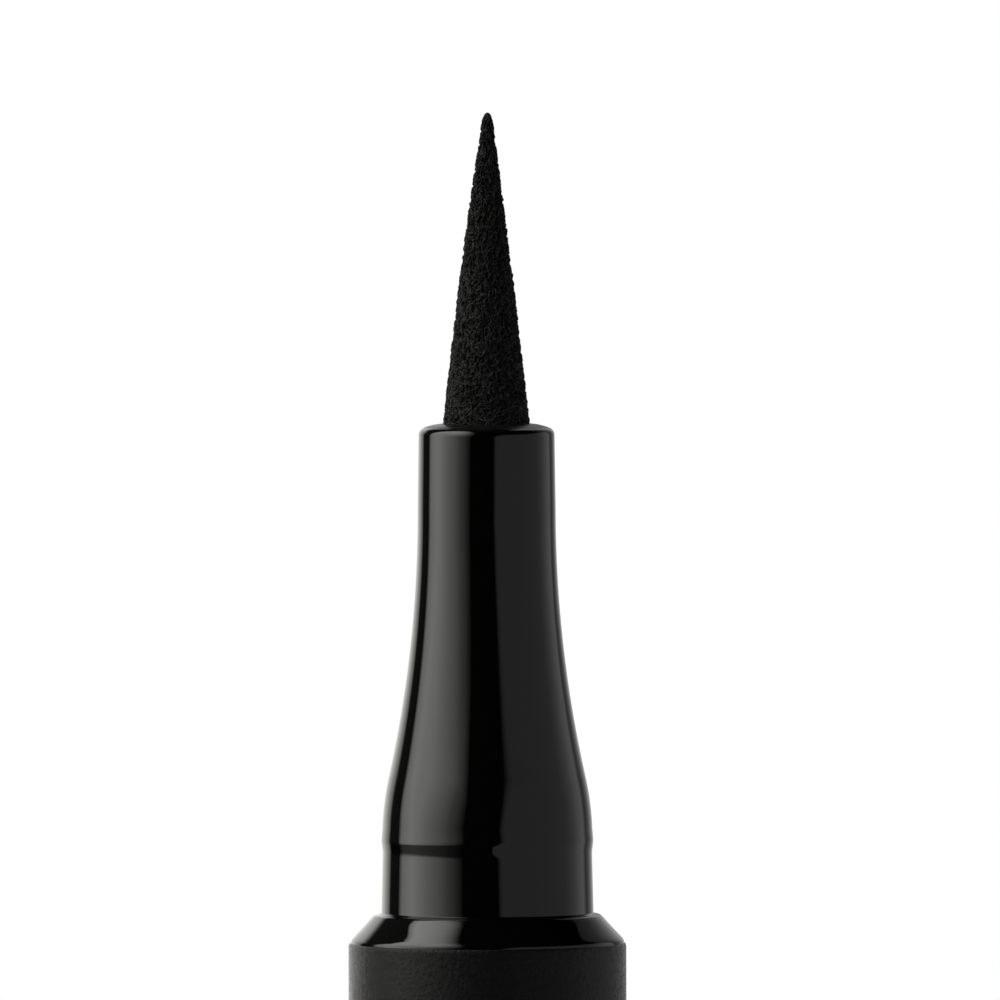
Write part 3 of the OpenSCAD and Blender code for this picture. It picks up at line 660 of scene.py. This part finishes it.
def fibre_relief(z, angle, dice):
    """Heights of fibres laid over the nib, as an array [row, side], from 0 to 1."""
    heights = np.zeros((len(z), len(angle)))
    row_step, side_step = z[1] - z[0], angle[1] - angle[0]
    near = range(-2, 3)     # grid points to either side that a fibre can reach
    for _ in range(FIBRES):
        # as many fibres on each bit of surface, so fewer where the nib is thin
        middle = dice.uniform(z[0], z[-1])
        while dice.random() * (NIB_R + 0.05) > nib_radius(np.array(middle)) + 0.05:
            middle = dice.uniform(z[0], z[-1])
        around = dice.random() * 2 * math.pi
        lean = math.radians(dice.gauss(0, FIBRE_LEAN))
        length = dice.uniform(*FIBRE_LENGTH)
        curl = dice.gauss(0, FIBRE_CURL)
        height = dice.uniform(*FIBRE_HEIGHT)
        width = dice.uniform(*FIBRE_WIDTH)
        along = np.linspace(-length / 2, length / 2, FIBRE_STEPS)
        way = lean + curl * along
        radius = max(0.12, float(nib_radius(np.array(middle))))
        zs = middle + along * np.cos(way)
        arcs = around + along * np.sin(way) / radius
        ends = 1 - (np.abs(along) / (length / 2)) ** 4
        rows = np.rint((zs - z[0]) / row_step).astype(int)
        columns = np.rint(arcs / side_step).astype(int)
        for dr in near:
            for dc in near:
                r, c = rows + dr, (columns + dc) % len(angle)
                inside = (r >= 0) & (r < len(z))
                dz = z[np.clip(r, 0, len(z) - 1)] - zs
                da = ((columns + dc) * side_step - arcs) * radius
                away = np.abs(dz * np.sin(way) - da * np.cos(way))
                crest = height * ends * np.sqrt(np.clip(1 - (away / (width * 1.25)) ** 2, 0, 1))
                np.maximum.at(heights, (r[inside], c[inside]), crest[inside])
    return heights


def make_nib(felt):
    """The felt from its socket in the nose up to the point, fibrous where it is out of the nose."""
    dice = random.Random(11)
    z = np.linspace(NOSE_TOP - 0.25, TIP_Z, NIB_ROWS)
    angle = np.linspace(0, 2 * math.pi, NIB_SIDES, endpoint=False)
    smooth = np.where(z < NOSE_TOP, NIB_R, nib_radius(z))
    fibres = fibre_relief(z, angle, dice)
    lumps = np.zeros_like(fibres)
    for _ in range(LUMP_WAVES):
        waves, turns = dice.uniform(2, 26), dice.randint(0, 16)
        phase, turn_phase = dice.uniform(0, 6.28), dice.uniform(0, 6.28)
        lumps += np.outer(np.sin(waves * z + phase), np.cos(turns * angle + turn_phase))
    lumps /= np.abs(lumps).max()
    # the felt bulges a little over the nose's rim, where the fibres set in, and is finer towards its point
    smooth = smooth + 0.02 * np.exp(-((z - NOSE_TOP - 0.14) / 0.1) ** 2)
    grown = np.clip((z - NOSE_TOP + 0.02) / 0.12, 0, 1) * np.clip(smooth / 0.35, 0.3, 1)
    radius = smooth[:, None] + grown[:, None] * (FIBRE_RISE * fibres - FIBRE_SINK + LUMPS * lumps)
    radius = np.clip(radius, 0, None)
    radius[-1] = 0
    stem = ((0, SOCKET_TOP), (SOCKET_R, SOCKET_TOP), (SOCKET_R, NIB_FOOT), (NIB_R - 0.06, NIB_FOOT),
            (NIB_R, NIB_FOOT + 0.06), (NIB_R, NOSE_TOP - 0.5))
    rings = [circle(r, angle, height) for r, height in stem]
    rings += [circle(row, angle, height, nib_bend(height)) for row, height in zip(radius, z)]
    nib = skin("shown_nib", np.array(rings), closed=False)
    dress(nib, "pen", felt)
    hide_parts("nib")


def make_strands(felt):
    """Loose fibre ends that stand off the nib a little, each a thin tapering tube rooted in it."""
    dice = random.Random(29)
    points, faces = [], []
    sides, rings = STRAND_SIDES, STRAND_RINGS
    for _ in range(STRANDS):
        # more of them low on the nib, and most point upwards
        z0 = NOSE_TOP + 0.1 + (TIP_Z - NOSE_TOP - 0.5) * (1 - math.sqrt(1 - dice.random() * 0.96))
        around = dice.random() * 2 * math.pi
        lean = math.radians(dice.gauss(0, STRAND_LEAN))
        up = 1 if dice.random() < 0.7 else -1
        length, lift = dice.uniform(*STRAND_LENGTH), dice.uniform(*STRAND_LIFT)
        thick = dice.uniform(*STRAND_WIDTH)
        path = []
        for k in range(rings):
            t = k / (rings - 1)
            zz = z0 + up * length * t * math.cos(lean)
            r = float(nib_radius(np.array(zz))) - STRAND_ROOT + lift * 1.6 * t * t
            a = around + length * t * math.sin(lean) / max(r, 0.15)
            path.append((r * math.cos(a) + nib_bend(zz), r * math.sin(a), min(zz, TIP_Z - 0.05)))
        path = np.array(path)
        first = len(points)
        for k in range(rings):
            ahead = path[min(k + 1, rings - 1)] - path[max(k - 1, 0)]
            ahead /= np.linalg.norm(ahead)
            side = np.cross(ahead, (math.cos(around), math.sin(around), 0))
            side /= np.linalg.norm(side)
            other = np.cross(ahead, side)
            width = thick * (1 - 0.7 * (k / (rings - 1)) ** 2)
            for s in range(sides):
                turn = 2 * math.pi * s / sides
                points.append(path[k] + width * (math.cos(turn) * side + math.sin(turn) * other))
        for k in range(rings - 1):
            for s in range(sides):
                a, b = first + k * sides + s, first + k * sides + (s + 1) % sides
                faces.append((a, b, b + sides, a + sides))
        last = first + (rings - 1) * sides
        faces.append(tuple(first + s for s in reversed(range(sides))))
        faces.append(tuple(last + s for s in range(sides)))
    mesh = bpy.data.meshes.new("nib_strands")
    mesh.from_pydata((np.array(points) * MM).tolist(), [], faces)
    mesh.update()
    mesh.shade_smooth()
    dress(add_object("nib_strands", mesh), "pen", felt)


# Inner pieces

INNER_NODES = {
    "nib_holder": "inner_plastic",
    "feed_core": "feed_fibre",
    "collector": "inner_plastic",
    "collector_o_ring": "seal_rubber",
    "ink_tube": "ink_tube_plastic",
    "tail_plug": "inner_plastic",
    "inner_cap": "inner_cap_plastic",
    "inner_cap_gasket": "seal_rubber",
}
EDGE_BEVEL, EDGE_TURN = 0.04, 40              # width in mm; degrees from which an edge is rounded
COIL_R, WIRE_R, SPRING_FOOT, SPRING_TOP, TURNS = 2.2, 0.2, 2.42, 12.53, 8


def make_spring(material):
    """The wire of the inner cap's spring, swept along its helix."""
    per_turn, sides = 48, 14
    rise = SPRING_TOP - SPRING_FOOT - 2 * WIRE_R
    count = per_turn * TURNS + 1
    points, faces = [], []
    for i in range(count):
        t = 2 * math.pi * i / per_turn
        middle = np.array([COIL_R * math.cos(t), COIL_R * math.sin(t),
                           SPRING_FOOT + WIRE_R + rise * i / (count - 1)])
        out = np.array([math.cos(t), math.sin(t), 0])
        run = rise / TURNS / (2 * math.pi)
        up = np.array([run * math.sin(t), -run * math.cos(t), COIL_R]) / math.hypot(run, COIL_R)
        for k in range(sides):
            s = 2 * math.pi * k / sides
            points.append(middle + WIRE_R * (math.cos(s) * out + math.sin(s) * up))
    for i in range(count - 1):
        for k in range(sides):
            a, b = i * sides + k, i * sides + (k + 1) % sides
            faces.append((a, b, b + sides, a + sides))
    last = (count - 1) * sides
    faces += [(0, k + 1, k) for k in range(1, sides - 1)]
    faces += [(last, last + k, last + k + 1) for k in range(1, sides - 1)]
    spring = mesh_piece("shown_inner_cap_spring", points, faces)
    dress(spring, "cap", material)
    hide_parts("inner_cap_spring")
    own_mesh(spring)


def make_inner(materials):
    """Finishes and soft edges for the nodes inside, and a round ball."""
    for node, key in INNER_NODES.items():
        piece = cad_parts[node]
        piece.data.materials.clear()
        piece.data.materials.append(materials[key])
        bevel = piece.modifiers.new("edges", "BEVEL")
        bevel.width = EDGE_BEVEL * MM
        bevel.segments = 2
        bevel.limit_method = "ANGLE"
        bevel.angle_limit = math.radians(EDGE_TURN)
        bevel.use_clamp_overlap = True
    low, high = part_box("mixing_ball")
    middle, radius = (low + high) / 2 / MM, (high - low).z / 2 / MM
    half = arc(0, middle.z, radius, -90, 90, 48)[1:-1]
    lathe("shown_mixing_ball", half, "ball", materials["ball_steel"], sides=96)


def make_floor():
    """A floor that shows in no reflection, as nothing bright lies under the pen in the photograph."""
    bpy.ops.mesh.primitive_circle_add(vertices=96, radius=FLOOR_R, fill_type="NGON", location=(0, 0, 0))
    floor = bpy.context.object
    floor.name = "floor"
    floor.data.materials.append(floor_material())
    floor.visible_glossy = False


make_camera()
make_world()
make_top_light()
make_floor()
make_turned(gloss_black(), soft_touch_black())
nib_felt = felt_black()
make_nib(nib_felt)
make_strands(nib_felt)
inner = {
    "inner_plastic": plastic("inner_plastic", (0.78, 0.78, 0.75), (0.84, 0.84, 0.82), 0.45),
    "ink_tube_plastic": plastic("ink_tube_plastic", (0.82, 0.83, 0.82), (0.88, 0.89, 0.88), 0.25),
    "inner_cap_plastic": plastic("inner_cap_plastic", (0.82, 0.82, 0.82), (0.87, 0.87, 0.87), 0.25),
    "seal_rubber": plastic("seal_rubber", (0.04, 0.04, 0.04), (0.06, 0.06, 0.062), 0.6),
    "feed_fibre": fibre_rod(),
    "ball_steel": steel("ball_steel", (0.6, 0.6, 0.61), 0.12, (1, 1, 1), 3000),
    "spring_steel": steel("spring_steel", (0.62, 0.62, 0.63), 0.25, (1, 1, 3), 2500),
}
make_inner(inner)
make_spring(inner["spring_steel"])

bpy.context.scene.view_settings.view_transform = "Standard"
bpy.context.view_layer.update()
